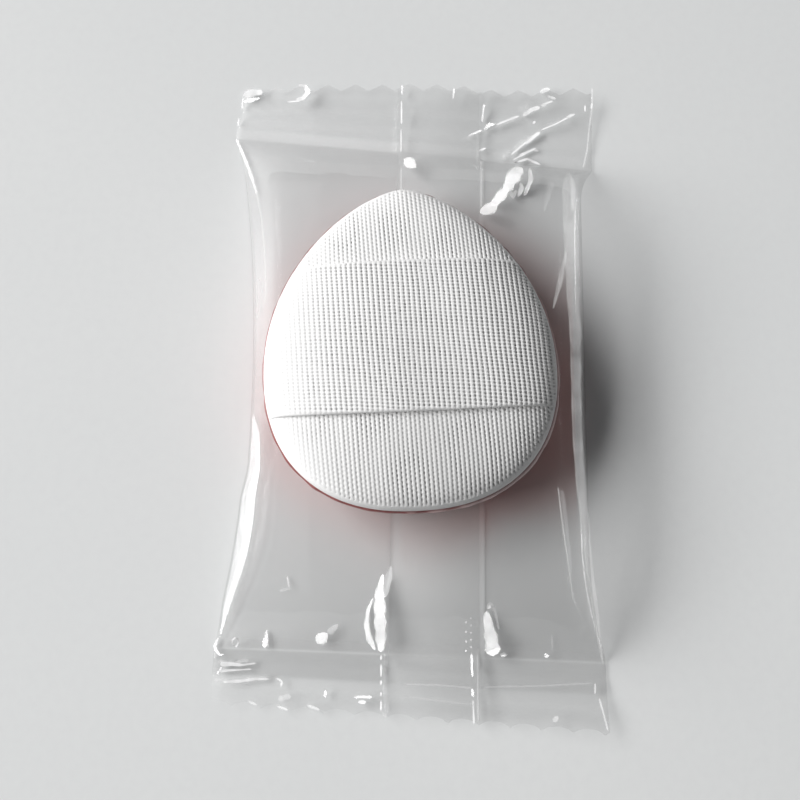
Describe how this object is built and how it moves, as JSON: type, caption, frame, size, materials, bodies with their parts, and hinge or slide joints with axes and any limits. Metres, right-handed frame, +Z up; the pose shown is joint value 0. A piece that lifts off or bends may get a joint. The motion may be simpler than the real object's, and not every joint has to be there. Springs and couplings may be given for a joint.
{
  "type": "finger makeup sponge in a clear sachet",
  "caption": "Small teardrop finger sponge with a white ribbed cloth back, finger band and pink face, lying in a clear film sachet with crimped zigzag ends.",
  "frame": {"origin": "the middle of the sachet's underside, on the surface it lies on", "axes": "+Z up out of the puff's cloth back, +Y along the sachet towards the puff's tip, +X to the right seen from above"},
  "size_m": [0.0408, 0.0723, 0.0097],
  "materials": {
    "clear_film": "gloss",
    "pink_skin": "matte",
    "foam": "matte",
    "barrier": "satin",
    "ribbed_cloth": "matte",
    "band_cloth": "matte",
    "weld": "satin"
  },
  "bodies": {
    "sachet": {"sachet_film": "clear_film"},
    "puff_face": {"face_skin": "pink_skin", "foam_core": "foam"},
    "puff_back": {"barrier_film": "barrier", "back_cloth": "ribbed_cloth", "finger_band": "band_cloth", "edge_weld": "weld"}
  },
  "joints": [
    {"name": "puff_slide", "type": "slide", "parent": "sachet", "child": "puff_face", "axis": [0, 1, 0], "range_m": [-0.009, 0.0025]},
    {"name": "sponge_press", "type": "slide", "parent": "puff_face", "child": "puff_back", "axis": [0, 0, -1], "range_m": [0, 0.002], "stiffness_N_per_m": 900, "deforming": ["foam_core", "face_skin"]}
  ]
}
